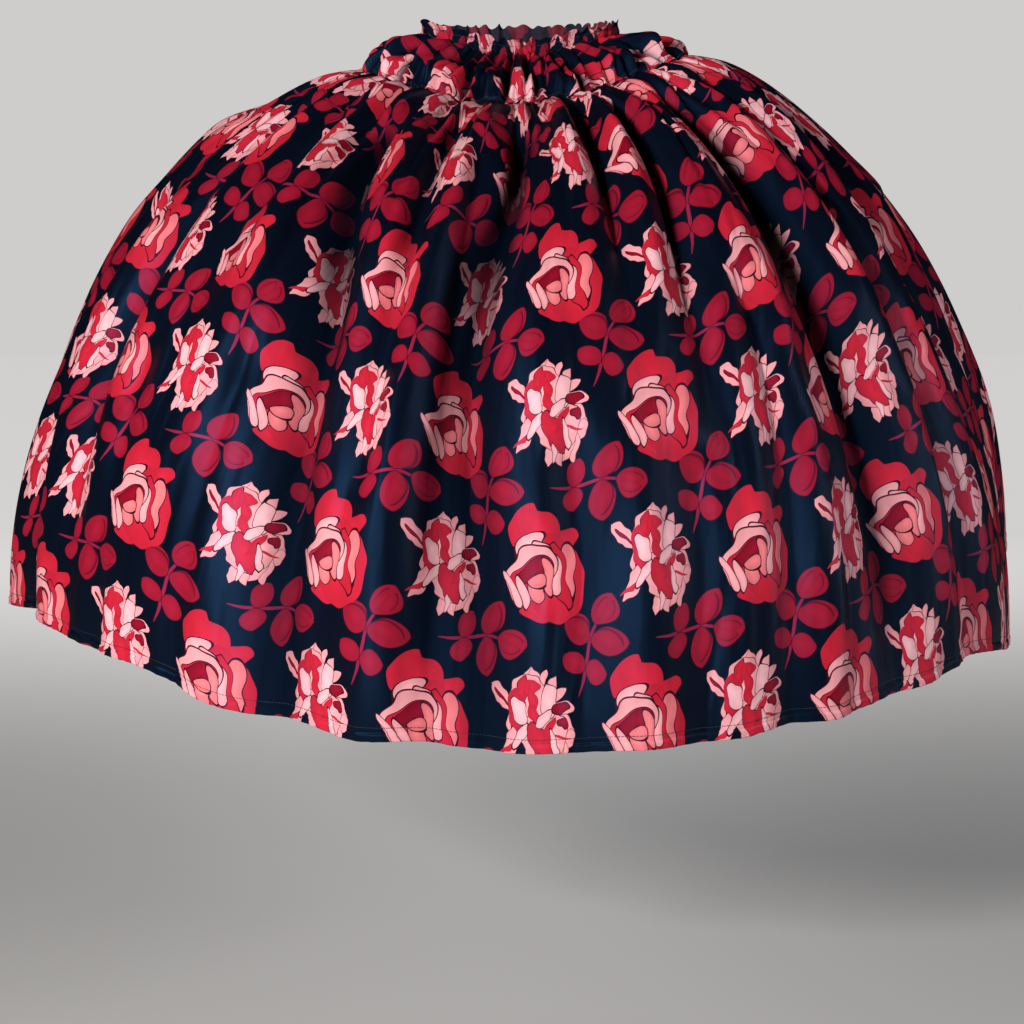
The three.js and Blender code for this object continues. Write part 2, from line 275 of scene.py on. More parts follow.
FRILLED_ROSE = [
    (-30, 19, 17, 6.5, -45, 0.35, PALE_PINK, 0.4),
    (-20, 2, 15, 2.6, 90, 0.6, PALE_PINK, 0.2),
    (-17, -18, 20, 6.5, 60, 0.35, PALE_PINK, 0.4),
    (-8, 36, 10, 4.6, 75, 0.6, PALE_PINK, 0.3),
    (-2, 35, 11, 4.4, 105, 0.6, PALE_PINK, 0.3),
    (4, 33, 11, 4.0, 60, 0.6, PALE_PINK, 0.3),
    (13, 25, 13, 4.6, 75, 0.6, PALE_PINK, 0.3),
    (19, 19, 11, 5.0, 45, 0.6, PALE_PINK, 0.3),
    (25, 8, 12, 6.5, 15, 0.2, PALE_PINK, 0.4),
    (29, -4, 12, 7.0, -45, 0.35, PALE_PINK, 0.4),
    (33, -16, 10, 5.0, 75, 0.5, PALE_PINK, 0.3),
    (27, -28, 14, 5.6, 90, 0.5, PALE_PINK, 0.3),
    (21, -33, 11, 4.6, 60, 0.5, PALE_PINK, 0.3),
    (4, -37, 12, 4.6, 75, 0.5, PALE_PINK, 0.3),
    (11, -36, 12, 4.4, 105, 0.5, PALE_PINK, 0.3),
    (-5, 14, 26, 17, 105, 0, PALE_PINK, 0.4),
    (18, -13, 19, 14, 75, 0, PALE_PINK, 0.4),
    (4, -16, 22, 13, 120, 0, PALE_PINK, 0.4),
    (13, 16, 16, 8, 105, 0.25, WHITE_PINK, 0.5),
    (-13, 22, 17, 6.5, 75, 0.3, RED, 0.5),
    (-4, 27, 8, 6.0, 30, 0, RED, 0.0),
    (-2, 18, 13, 3.8, 105, 0.3, RED, 0.0),
    (-14, 7, 20, 8.5, 105, 0.2, RED, 0.0),
    (4, 0, 16, 4.2, 120, 0.3, RED, 0.0),
    (8, -19, 19, 10, 120, 0.2, RED, 0.5),
    (15, -8, 13, 3.0, 60, 0.4, RED, 0.0),
    (-12, 8, 14, 6.0, 120, 0.2, WHITE_PINK, 0.5),
    (10, 1, 9, 5.5, 45, 0.4, WHITE_PINK, 0.5),
    (24, 9, 9, 4.2, 15, 0, DARK_RED, 0.5),
    (27, -3, 6, 4.2, -30, 0, DARK_RED, 0.4),
    (27, -15, 9, 1.8, -15, 0.5, RED, 0.0),
    (-30, 18, 12, 1.7, -45, 0.5, DARK_RED, 0.0),
    (-22, -25, 10, 2.4, 30, 0.4, RED, 0.0),
    (19, -20, 14, 3.6, 105, 0.3, WHITE_PINK, 0.5),
    (-10, -14, 13, 4.6, 60, 0.3, WHITE_PINK, 0.5),
    (7, -36, 10, 2.8, 90, 0.4, WHITE_PINK, 0.4),
]


def laid_out(tree, cloth):
    """How far across and down the cloth a place is, in millimetres."""
    split = tree.nodes.new("ShaderNodeSeparateXYZ")
    plug(tree, split.inputs[0], vector_of(tree, "MULTIPLY", cloth, (1000, 1000, 0)))
    return split.outputs[0], sum_of(tree, "SUBTRACT", split.outputs[1], FIRST_ROW)


def repeat_cell(tree, across, down, shift):
    """The place in a repeat cell, in millimetres from its middle with y up, and 1 in every other cell."""
    column = sum_of(tree, "ADD", sum_of(tree, "DIVIDE", across, COLUMN_STEP), shift)
    row = sum_of(tree, "ADD", sum_of(tree, "DIVIDE", down, ROW_STEP), shift)
    whole_column = sum_of(tree, "FLOOR", column)
    whole_row = sum_of(tree, "FLOOR", row)
    right = sum_of(tree, "SUBTRACT", sum_of(tree, "SUBTRACT", column, whole_column), 0.5)
    below = sum_of(tree, "SUBTRACT", sum_of(tree, "SUBTRACT", row, whole_row), 0.5)
    x = sum_of(tree, "MULTIPLY", right, COLUMN_STEP)
    y = sum_of(tree, "MULTIPLY", below, -ROW_STEP)
    half = sum_of(tree, "FRACT", sum_of(tree, "MULTIPLY", sum_of(tree, "ADD", whole_column, whole_row), 0.5))
    joined = tree.nodes.new("ShaderNodeCombineXYZ")
    plug(tree, joined.inputs[0], x)
    plug(tree, joined.inputs[1], y)
    return joined.outputs[0], sum_of(tree, "GREATER_THAN", half, 0.25)


def wavered(tree, place, fineness, reach):
    """The place with the uneven edge of hand-drawn petals."""
    noise = tree.nodes.new("ShaderNodeTexNoise")
    noise.noise_dimensions = "2D"
    noise.inputs["Scale"].default_value = fineness
    noise.inputs["Detail"].default_value = 0
    plug(tree, noise.inputs["Vector"], place)
    parts = tree.nodes.new("ShaderNodeSeparateColor")
    plug(tree, parts.inputs[0], noise.outputs["Color"])
    joined = tree.nodes.new("ShaderNodeCombineXYZ")
    plug(tree, joined.inputs[0], parts.outputs[0])
    plug(tree, joined.inputs[1], parts.outputs[1])
    off = vector_of(tree, "SUBTRACT", joined.outputs[0], (0.5, 0.5, 0))
    return vector_of(tree, "ADD", place, vector_of(tree, "MULTIPLY", off, (reach, reach, 0)))


rose_print, given, made = group_of("Rose print", [("Cloth", "Vector")], [("Colour", "Color")])
across, down = laid_out(rose_print, given["Cloth"])

# The sprig is drawn along its stem and mirrored across it: a pair of small leaves, a pair of large
# ones and one at the tip. Every other sprig is turned up.
place, other = repeat_cell(rose_print, across, down, 0.0)
turn = sum_of(rose_print, "ADD", sum_of(rose_print, "MULTIPLY", other, 1.3), -1.26)
spun = rose_print.nodes.new("ShaderNodeVectorRotate")
spun.rotation_type = "Z_AXIS"
plug(rose_print, spun.inputs["Vector"], place)
plug(rose_print, spun.inputs["Angle"], turn)
uneven = wavered(rose_print, spun.outputs[0], 0.03, 7)
stemwise = rose_print.nodes.new("ShaderNodeSeparateXYZ")
plug(rose_print, stemwise.inputs[0], uneven)
bend = sum_of(rose_print, "COSINE", sum_of(rose_print, "MULTIPLY", stemwise.outputs[0], 0.045))
side = sum_of(rose_print, "SUBTRACT", stemwise.outputs[1], sum_of(rose_print, "MULTIPLY", bend, 3))
along = sum_of(rose_print, "ADD", stemwise.outputs[0], sum_of(rose_print, "MULTIPLY", side, -0.1))
either_side = sum_of(rose_print, "ABSOLUTE", side)
mirrored = rose_print.nodes.new("ShaderNodeCombineXYZ")
plug(rose_print, mirrored.inputs[0], along)
plug(rose_print, mirrored.inputs[1], either_side)
SPRIG = [
    (-14, 0, 36, 1.9, 0, 0.0, STEM, 0.0),
    (-25, 12, 12.5, 10, 75, 0.25, LEAF, 0.5),
    (4, 18, 18, 12.5, 75, 0.25, LEAF, 0.5),
    (6, 17, 14, 8, 90, 0.3, LEAF_DARK, 0.2),
    (4.5, 17, 14, 7.4, 90, 0.3, LEAF, 0.0),
    (28, 0, 16, 14, 0, 0.3, LEAF, 0.5),
    (27, 4, 12, 5, 0, 0.4, LEAF_DARK, 0.1),
    (26, 3.4, 12, 5, 0, 0.4, LEAF, 0.0),
]
sprigs = print_motif(rose_print, GROUND, mirrored.outputs[0], SPRIG)

place, other = repeat_cell(rose_print, across, down, 0.5)
round_place = wavered(rose_print, vector_of(rose_print, "MULTIPLY", place, (0.95, 0.86, 0)), 0.045, 12)
round_ink = print_motif(rose_print, sprigs, round_place, ROUND_ROSE, sprigs)
frilled_place = wavered(rose_print, vector_of(rose_print, "MULTIPLY", place, (0.94, 0.92, 0)), 0.1, 5)
frilled_ink = print_motif(rose_print, sprigs, frilled_place, FRILLED_ROSE, round_ink)
plug(rose_print, made["Colour"], blend_of(rose_print, other, round_ink, frilled_ink))

# Seen from the wrong side the dye shows through only as dim patches.
show_through, given, made = group_of("Print from behind", [("Cloth", "Vector")], [("Colour", "Color")])
across, down = laid_out(show_through, given["Cloth"])
FAINT_SPRIG = [(0, 0, 34, 9, 30, 0.0, LEAF_DARK, 0.0), (0, 2, 10, 34, 30, 0.0, LEAF_DARK, 0.0)]
FAINT_ROSE = [(2, 0, 45, 34, 105, 0.0, DARK_RED, 0.0), (-4, 0, 22, 17, 45, 0.0, PINK, 0.0)]
place, other = repeat_cell(show_through, across, down, 0.0)
patches = print_motif(show_through, GROUND, place, FAINT_SPRIG)
place, other = repeat_cell(show_through, across, down, 0.5)
patches = print_motif(show_through, patches, wavered(show_through, place, 0.1, 9), FAINT_ROSE)
plug(show_through, made["Colour"], patches)

# The satin's fine twill of long floats, and the soft crumple that handling leaves in it.
weave, given, made = group_of("Satin hand", [("Cloth", "Vector")], [("Height", "Float"), ("Polish", "Float")])
crumple = weave.nodes.new("ShaderNodeTexNoise")
crumple.inputs["Scale"].default_value = 1.0
crumple.inputs["Detail"].default_value = 1.5
crumple.inputs["Distortion"].default_value = 0.15
plug(weave, crumple.inputs["Vector"], vector_of(weave, "MULTIPLY", given["Cloth"], (34, 7, 1)))
threads = weave.nodes.new("ShaderNodeTexWave")
threads.inputs["Scale"].default_value = 1.0
threads.inputs["Distortion"].default_value = 0.4
threads.bands_direction = "DIAGONAL"
plug(weave, threads.inputs["Vector"], vector_of(weave, "MULTIPLY", given["Cloth"], (520, 300, 1)))
thread_height = sum_of(weave, "MULTIPLY", threads.outputs["Fac"], 0.015)
plug(weave, made["Height"], sum_of(weave, "ADD", crumple.outputs[0], thread_height))
plug(weave, made["Polish"], sum_of(weave, "ADD", sum_of(weave, "MULTIPLY", crumple.outputs[0], 0.3), 0.29))


def satin_finish(name, print_group, strength, dullness, relief, shade):
    """The satin's right side, or its duller wrong side where the dye shows through paler. Shade is how
    strongly painted shade darkens its colour toward black where the cloth lies deep between two folds
    and on the yoke's elastic and frill, and how much added roughness dulls its sheen there."""
    finish = bpy.data.materials.new(name)
    finish.use_nodes = True
    tree = finish.node_tree
    shader = tree.nodes["Principled BSDF"]
    cloth = tree.nodes.new("ShaderNodeUVMap")
    cloth.uv_map = "Cloth"
    printed = tree.nodes.new("ShaderNodeGroup")
    printed.node_tree = print_group
    plug(tree, printed.inputs["Cloth"], cloth.outputs[0])
    hand = tree.nodes.new("ShaderNodeGroup")
    hand.node_tree = weave
    plug(tree, hand.inputs["Cloth"], cloth.outputs[0])
    colour = blend_of(tree, strength, (0.055, 0.042, 0.055, 1), printed.outputs["Colour"])
    # Painted shade: the base colour is blended toward black by the mesh's painted shade mask, high deep in the folds,
    # and the roughness is raised there too.
    painted_shade = tree.nodes.new("ShaderNodeAttribute")
    painted_shade.attribute_name = "PaintedShade"
    in_shade = sum_of(tree, "MULTIPLY", sum_of(tree, "POWER", painted_shade.outputs["Fac"], 2.0), shade)
    plug(tree, shader.inputs["Base Color"], blend_of(tree, in_shade, colour, (0, 0, 0, 1)))
    rough = sum_of(tree, "ADD", hand.outputs["Polish"], dullness)
    rough = sum_of(tree, "ADD", rough, sum_of(tree, "MULTIPLY", painted_shade.outputs["Fac"], 0.55 * shade))
    plug(tree, shader.inputs["Roughness"], rough)
    raised = tree.nodes.new("ShaderNodeBump")
    raised.inputs["Strength"].default_value = relief
    raised.inputs["Distance"].default_value = 0.009
    plug(tree, raised.inputs["Height"], hand.outputs["Height"])
    plug(tree, shader.inputs["Normal"], raised.outputs[0])
    shader.inputs["Specular IOR Level"].default_value = 0.2
    shader.inputs["Specular Tint"].default_value = (0.14, 0.42, 1, 1)
    return finish


satin = satin_finish("printed satin", rose_print, 1.0, 0.0, 0.8, 0.92)
satin_wrong_side = satin_finish("satin wrong side", show_through, 0.6, 0.28, 0.3, 0.0)


# ---------------------------------------------------------------- Tier
# The wide lower part: two straight panels, each 1.76 m across and 0.745 m long, drawn up along the
# top edge on to the yoke and falling in folds over a petticoat to a narrow rolled hem.
SEAM = {"width": 352, "depth": 296, "sideways": 5, "height": -35, "lift": 8, "front_drop": 45, "back_drop": 22}
ARCH_OUTWARD = 1.3
ARCH_DOWNWARD = 1.03
TIER_LENGTH = 745
TIER_PANEL_WIDTH = 1760
TIER_COLUMNS = 330
CLOTH_THICKNESS = 0.0006

# Bearing from the front, with 90 at the wearer's left side: hem height and hem reach.
HEM = np.array([
    (0, -673, 545), (18, -668, 544), (30, -660, 544), (44, -648, 543), (58, -633, 544),
    (78, -656, 540), (90, -614, 552), (104, -570, 578), (126, -584, 572), (160, -610, 556),
    (200, -618, 550), (240, -608, 552), (276, -618, 557), (297, -602, 553), (315, -616, 549),
    (334, -652, 546), (345, -662, 545), (360, -673, 545),
])

# Valleys of the large folds: bearing at the top, middle and hem, half width, depth, and where along
# the length they start and end. A depth below 0 stands out.
TOP, MIDDLE, FOOT, HALF_WIDTH, DEPTH, START, END = range(7)
FOLDS = [
    (1, -6, -3.5, 4.6, 27, 0.02, 1.35), (-9, -9, -11, 2.8, 13, 0.08, 1.4),
    (-19, -17, -19, 3.4, 17, 0.0, 0.85), (-38, -26, -25, 5.2, 26, 0.04, 1.35),
    (-50, -47, -44, 3.4, 15, 0.02, 0.6), (-66, -61, -56, 3.6, 14, 0.04, 1.1),
    (-84, -77, -71, 5.2, 20, 0.3, 1.4), (17, 14, 12, 2.6, 15, 0.0, 0.6),
    (8, 5, 6.5, 4, 12, 0.55, 1.5), (29, 23, 19, 3.2, 18, 0.0, 0.75),
    (20, 19, 18.5, 3.2, 10, 0.6, 1.5), (34, 31, 28, 2.5, 11, 0.35, 1.4),
    (46, 43, 43, 4.6, 27, 0.02, 1.2), (60, 56, 57, 3, 12, 0.02, 1.3),
    (74, 69, 68, 3.8, 16, 0.05, 0.9), (88, 86, 87, 4.4, 40, 0.3, 1.6),
    (-90, -86, -84, 9, -17, 0.09, 0.62), (82, 83, 82, 7, -9, 0.22, 0.8),
    (100, 103, 112, 3.6, 18, 0.03, 1.2), (116, 121, 124, 4.8, 24, 0.03, 1.35),
    (131, 134, 138, 2.8, 12, 0.02, 0.7), (143, 147, 149, 4.2, 21, 0.05, 1.4),
    (160, 161, 164, 3, 13, 0.02, 1.0), (173, 176, 178, 5, 26, 0.03, 1.3),
    (189, 190, 192, 2.7, 12, 0.02, 0.6), (203, 202, 204, 4.4, 22, 0.05, 1.4),
    (219, 217, 216, 3, 13, 0.02, 1.1), (232, 231, 229, 4.8, 24, 0.04, 1.35),
    (247, 247, 246, 3, 13, 0.02, 0.8), (260, 261, 261, 4.4, 20, 0.08, 1.4),
]

# Smaller creases between the folds, in the same columns.
CREASES = [
    (-2, 2, 3, 1.3, 7, 0.0, 0.42), (-13, -12, -12, 1.0, 8, 0.0, 0.42), (-23, -21, -22, 1.1, 8, 0.0, 0.5),
    (-28, -27, -27, 1.0, 7, 0.0, 0.35), (-42, -35, -33, 1.2, 8, 0.0, 0.55), (-54, -50, -48, 1.2, 8, 0.0, 0.5),
    (-61, -57, -54, 1.2, 7, 0.0, 0.4), (8, 7, 7, 1.0, 8, 0.0, 0.45), (14, 11, 10, 0.9, 7, 0.0, 0.33),
    (20, 17, 15, 1.0, 8, 0.0, 0.4), (25, 20, 18, 1.0, 7, 0.0, 0.3), (36, 29, 27, 1.1, 9, 0.0, 0.5),
    (42, 39, 38, 1.2, 8, 0.0, 0.4), (50, 46, 46, 1.1, 8, 0.0, 0.45), (57, 53, 53, 1.2, 7, 0.0, 0.35),
    (70, 66, 65, 1.3, 8, 0.0, 0.5), (-18, -15, -15, 0.9, 6, 0.0, 0.25), (3, 4, 5, 0.9, 6, 0.0, 0.28),
    (5, 9, 9, 1.3, 6, 0.0, 0.3), (11, 9, 9, 1.2, 5, 0.0, 0.24),
    (-11, -9, -9, 1.3, 6, 0.0, 0.3), (-15, -14, -14, 1.2, 5, 0.0, 0.22), (-25, -22, -22, 1.5, 6, 0.0, 0.36),
    (-30, -31, -32, 1.6, 5, 0.05, 0.6), (-44, -38, -36, 1.8, 7, 0.0, 0.5), (-34, -33, -33, 1.2, 4, 0.0, 0.2),
    (-57, -54, -51, 1.8, 6, 0.0, 0.45), (-72, -69, -66, 1.8, 6, 0.0, 0.5), (-78, -74, -73, 1.4, 5, 0.0, 0.3),
    (22, 18, 17, 1.3, 6, 0.0, 0.33), (33, 27, 25, 1.4, 6, 0.0, 0.38), (39, 36, 34, 1.5, 7, 0.0, 0.45),
    (53, 49, 49, 1.6, 7, 0.0, 0.5), (66, 62, 62, 1.5, 6, 0.0, 0.42), (80, 76, 75, 1.4, 5, 0.0, 0.35),
    (-33, -35, -37, 2.2, 5, 0.5, 1.4), (-9, -9, -9, 2.0, 4, 0.6, 1.5), (24, 24, 24, 2.1, 5, 0.55, 1.5),
    (37, 36, 36, 2.0, 5, 0.5, 1.3), (49, 50, 51, 2.2, 6, 0.5, 1.5), (-50, -50, -50, 2.2, 5, 0.55, 1.4),
    (96, 97, 99, 1.6, 6, 0.0, 0.5), (108, 111, 115, 1.6, 6, 0.0, 0.4), (124, 128, 130, 1.6, 6, 0.0, 0.45),
    (138, 141, 143, 1.5, 6, 0.0, 0.4), (151, 154, 156, 1.7, 6, 0.0, 0.5), (167, 169, 170, 1.6, 6, 0.0, 0.36),
    (181, 183, 185, 1.6, 6, 0.0, 0.42), (196, 196, 197, 1.6, 6, 0.0, 0.46), (211, 210, 210, 1.5, 6, 0.0, 0.35),
    (226, 225, 223, 1.6, 6, 0.0, 0.45), (240, 240, 238, 1.7, 6, 0.0, 0.5), (254, 254, 254, 1.5, 6, 0.0, 0.4),
    (268, 269, 270, 1.7, 5, 0.0, 0.5), (105, 106, 108, 2.4, 5, 0.5, 1.4), (156, 156, 157, 2.2, 5, 0.5, 1.4),
    (184, 184, 185, 2.2, 5, 0.5, 1.4), (224, 223, 222, 2.2, 5, 0.5, 1.4), (254, 254, 253, 2.2, 5, 0.5, 1.4),
]
FOLD_RISE = 0.1
FOLD_FALL = 0.45
VERY_DEEP = 30


def smooth(value, low, high):
    share = np.clip((value - low) / (high - low), 0, 1)
    return share * share * (3 - 2 * share)


def ring_reach(ring, bearing):
    angle = np.radians(bearing)
    return 1 / np.hypot(np.sin(angle) / (ring["width"] / 2), np.cos(angle) / (ring["depth"] / 2))


def seam_reach(bearing):
    return ring_reach(SEAM, bearing) + SEAM["sideways"] * np.sin(np.radians(bearing))


def seam_height(bearing):
    toward = np.cos(np.radians(bearing))
    drop = SEAM["front_drop"] * np.maximum(0, toward) ** 2 + SEAM["back_drop"] * np.maximum(0, -toward) ** 2
    return SEAM["height"] + SEAM["lift"] * np.sin(np.radians(bearing)) - drop


def hem_at(bearing, column):
    at = np.mod(bearing, 360)
    row = np.searchsorted(HEM[:, 0], at, side="right") - 1
    share = (at - HEM[row, 0]) / (HEM[row + 1, 0] - HEM[row, 0])
    eased = (1 - np.cos(np.pi * share)) / 2
    return HEM[row, column] + (HEM[row + 1, column] - HEM[row, column]) * eased


def point_at(bearing, reach, height):
    angle = np.radians(bearing)
    return np.stack([reach * np.sin(angle), -reach * np.cos(angle), height + 0 * angle], -1)


def unit(vectors):
    return vectors / np.linalg.norm(vectors, axis=-1, keepdims=True)


def gather_wave(bearing, lag):
    angle = np.radians(bearing)
    wander = 1.1 * np.sin(5 * angle + lag) + 0.8 * np.sin(3 * angle + 2 * lag)
    return (0.78 + 0.22 * np.sin(7 * angle + 3 * lag)) * np.cos(36 * angle + wander)


arch_steps = np.linspace(0, math.pi / 2, 241)
arch_out = np.sin(arch_steps) ** ARCH_OUTWARD * (HEM[0, 2] - SEAM["width"] / 2)
arch_down = np.maximum(0, np.cos(arch_steps)) ** ARCH_DOWNWARD * (SEAM["height"] - HEM[0, 1])
arch_length = np.concatenate([[0], np.cumsum(np.hypot(np.diff(arch_out), np.diff(arch_down)))])


def tier_form(bearing, share):
    """The tier's smooth form under its folds, in millimetres."""
    angle = np.interp(np.clip(share, 0, 1) * arch_length[-1], arch_length, arch_steps)
    outward = np.sin(angle) ** ARCH_OUTWARD
    downward = np.maximum(0, np.cos(angle)) ** ARCH_DOWNWARD
    reach = seam_reach(bearing) + (hem_at(bearing, 2) - seam_reach(bearing)) * outward
    height = hem_at(bearing, 1) + (seam_height(bearing) - hem_at(bearing, 1)) * downward
    return point_at(bearing, reach, height)


def fold_centre(fold, share):
    upper = fold[TOP] + (fold[MIDDLE] - fold[TOP]) * smooth(share, 0, 0.5)
    return upper + (fold[FOOT] - upper) * smooth(share, 0.45, 1)


def fold_strength(fold, share):
    risen = smooth(share, fold[START], fold[START] + FOLD_RISE)
    return risen * (1 - smooth(share, fold[END] - FOLD_FALL, fold[END]))


def turn_between(a, b):
    return np.mod(a - b + 180, 360) - 180


def fold_depth(bearing, share):
    """How far the cloth lies in from its smooth form: troughs pinched along their middle, with the
    cloth rolled a little outward on both their sides. Bulges and very deep folds stay plainly round."""
    depth = np.zeros_like(bearing)
    for fold in FOLDS:
        across = np.abs(turn_between(bearing, fold_centre(fold, share)) / fold[HALF_WIDTH])
        if 0 < fold[DEPTH] < VERY_DEEP:
            pinch = 0.6 * np.exp(-((across / 0.42) ** 1.6)) * (1 - 0.85 * smooth(share, 0.6, 0.97))
            trough = 1.05 * np.exp(-((across / 1.05) ** 2)) + pinch
            rolled = 0.24 * np.exp(-(((across - 1.9) / 0.7) ** 2))
            depth += fold[DEPTH] * (trough - rolled) * fold_strength(fold, share)
        else:
            depth += fold[DEPTH] * np.exp(-(across**2)) * fold_strength(fold, share - 0.03)
    for crease in CREASES:
        across = np.abs(turn_between(bearing, fold_centre(crease, share)) / crease[HALF_WIDTH])
        depth += 1.9 * crease[DEPTH] * np.exp(-(across**1.5)) * fold_strength(crease, share + 0.04)
    return depth


def outward(surface, bearing, share):
    down = surface(bearing, np.minimum(1, share + 0.004)) - surface(bearing, np.maximum(0, share - 0.004))
    across = surface(bearing + 0.4, share) - surface(bearing - 0.4, share)
    return unit(np.cross(down, across))


def tier_cloth(bearing, share):
    """The tier's surface with its folds, gathers and rolled hem, in millimetres, and the painted shade its folds take.
    """
    top = smooth(share, 0, 0.012)[..., None]
    out = unit(top * outward(tier_form, bearing, share) + (1 - top) * unit(point_at(bearing, 1, 1)))
    opened = smooth(share, 0, 0.06) * np.exp(-share / 0.27)
    gathers = gather_wave(bearing, 2)
    pinched = 0.9 - 2 * np.clip((1 - gathers) / 2, 0, 1) ** 1.8
    wave = 9.5 * pinched * opened + 3.6 * gathers * (1 - smooth(share, 0, 0.06))
    angle = np.radians(bearing)
    fine = 2.4 * np.sin(83 * angle + 2.5 * np.sin(11 * angle)) * np.sin(7 * angle + 1) * np.exp(-share / 0.08)
    patchy = 0.5 + 0.5 * np.sin(9 * angle + 2 * np.sin(4 * angle))
    pleats = 1.5 * patchy * np.sin(118 * angle + 3 * np.sin(6 * angle + 1) + 1.5 * np.sin(13 * angle))
    pleats = pleats * smooth(share, 0.01, 0.08) * np.exp(-share / 0.3)
    ripple = 2.2 * np.sin(23 * angle + 3 * np.sin(4 * angle) + 2.5 * share) * smooth(share, 0.3, 0.8)
    sway = 1.5 * np.sin(9 * share + 13 * angle + 2 * np.sin(5 * angle)) * smooth(share, 0.05, 0.3)
    roll = 1.0 * smooth(share, 0.988, 0.991) - 0.5 * np.exp(-(((share - 0.9885) / 0.0012) ** 2))
    pucker = 0.8 * np.sin(260 * angle + 4 * np.sin(31 * angle)) * smooth(share, 0.975, 0.995)
    inward = fold_depth(bearing, share)
    lift = wave + fine + pleats + ripple + sway + roll + pucker - inward
    # Painted shade mask: 0 on the ridges, rising to 1 deep in the folds, and weaker over the lower part of the tier.
    painted_shade = smooth(inward - wave * (1 - np.exp(-share / 0.02)), 4, 32) * (1 - 0.3 * smooth(share, 0.3, 0.6))
    return tier_form(bearing, share) + out * lift[..., None], painted_shade


# Where the printed columns run on the front: share of the length, then the bearings of eleven
# columns, with the sixth near the middle of the front. Elsewhere they are evenly spaced.
FRONT_COLUMNS = np.array([
    (0.00, -64, -46, -30, -15, 0, 9, 24, 40, 54, 66, 76),
    (0.21, -60, -45, -29, -15, -0.6, 8.5, 23.2, 38.9, 51, 61, 71),
    (0.395, -56, -42.7, -29.2, -18.3, -6.2, 5.2, 20.3, 34.2, 43, 53, 64),
    (0.58, -53.7, -42.3, -28, -18.2, -7.9, 2.3, 15.8, 27.8, 38.8, 46.5, 57),
    (0.77, -59, -44.3, -30.7, -19.2, -8.4, 2.5, 13.2, 25.1, 35.9, 47.9, 59),
    (0.96, -60.4, -45.3, -31.9, -21.1, -9.4, 0.9, 12.2, 22.1, 35.3, 46.8, 58),
])


def front_across(bearing, share):
    """How far round the front panel's cloth a place is, in millimetres from its middle column."""
    fine = np.linspace(-100, 100, 801)
    rows = []
    for row in FRONT_COLUMNS:
        bearings = np.concatenate([[-100, -90], row[1:], [90, 100]])
        columns = np.concatenate([[-9, -8], np.arange(-5, 6), [8, 9]]) * COLUMN_STEP
        even = np.interp(fine, bearings, columns)
        rows.append(np.convolve(np.pad(even, 16, mode="edge"), np.ones(33) / 33, mode="valid"))
    place = np.interp(share, FRONT_COLUMNS[:, 0], np.arange(len(rows)))
    low = np.minimum(place.astype(int), len(rows) - 2)
    across = [np.interp(bearing, fine, row) for row in rows]
    lower = np.choose(low, across[:-1])
    upper = np.choose(low, across[1:])
    return lower + (upper - lower) * (place - low)


def back_across(bearing, share):
    return (bearing - 180) / 90 * (TIER_PANEL_WIDTH / 2)


def squeezed(across, bearing, share, density):
    """Moves cloth from the ridges into the valleys, where the deep folds hide it."""
    reach = np.hypot(*np.moveaxis(tier_form(bearing, share), -1, 0)[:2])
    hidden = np.maximum(0, density - reach * math.pi / 180)
    moved = across.copy()
    for fold in FOLDS:
        if fold[DEPTH] > 0:
            off = turn_between(bearing, fold_centre(fold, share))
            tight = np.tanh(off / (0.34 * fold[HALF_WIDTH]))
            wide = np.tanh(off / (1.5 * fold[HALF_WIDTH]))
            taken = np.minimum(1, fold[DEPTH] / 16) * fold_strength(fold, share)
            moved += 0.9 * fold[HALF_WIDTH] * hidden * (tight - wide) * taken
    return moved


def cloth_piece(name, columns, rows, row_place, place):
    """A flat grid bent to the form of a piece of cloth, with its print laid out in metres of cloth."""
    shape = bmesh.new()
    bmesh.ops.create_grid(shape, x_segments=columns, y_segments=rows, size=0.5)
    flat = np.array([vert.co[:2] for vert in shape.verts]) + 0.5
    share = np.interp(1 - flat[:, 1], np.linspace(0, 1, len(row_place)), row_place)
    points, cloth, painted_shade = place(flat[:, 0], share)
    # Each corner keeps the painted shade that darkens the satin's colour there.
    deep = shape.verts.layers.float.new("PaintedShade")
    for vert, point, depth in zip(shape.verts, points / 1000, painted_shade):
        vert.co = point
        vert[deep] = depth
    layer = shape.loops.layers.uv.new("Cloth")
    cloth = cloth / 1000
    for face in shape.faces:
        face.smooth = True
        for loop in face.loops:
            loop[layer].uv = cloth[loop.vert.index]
    mesh = bpy.data.meshes.new(name)
    shape.to_mesh(mesh)
    shape.free()
    mesh.materials.append(satin)
    mesh.materials.append(satin_wrong_side)
    piece = bpy.data.objects.new(name, mesh)
    bpy.context.scene.collection.objects.link(piece)
    wall = piece.modifiers.new("cloth thickness", "SOLIDIFY")
    wall.thickness = CLOTH_THICKNESS
    wall.offset = -1
    wall.use_even_offset = False
    wall.material_offset = 1
    wall.material_offset_rim = 0
    return piece


tier_rows = np.concatenate([np.linspace(0, 0.06, 14)[:-1], np.linspace(0.06, 0.98, 104)[:-1], np.linspace(0.98, 1, 15)])

# How far along the cloth's length each share of the form lies, counted up from the hem.
tier_shares = np.linspace(0, 1, 101)
middle_line = tier_form(np.full_like(tier_shares, -20), tier_shares)
tier_lengths = np.concatenate([[0], np.cumsum(np.linalg.norm(np.diff(middle_line, axis=0), axis=1))])
tier_lengths = 1 - (tier_lengths[-1] - tier_lengths) / TIER_LENGTH


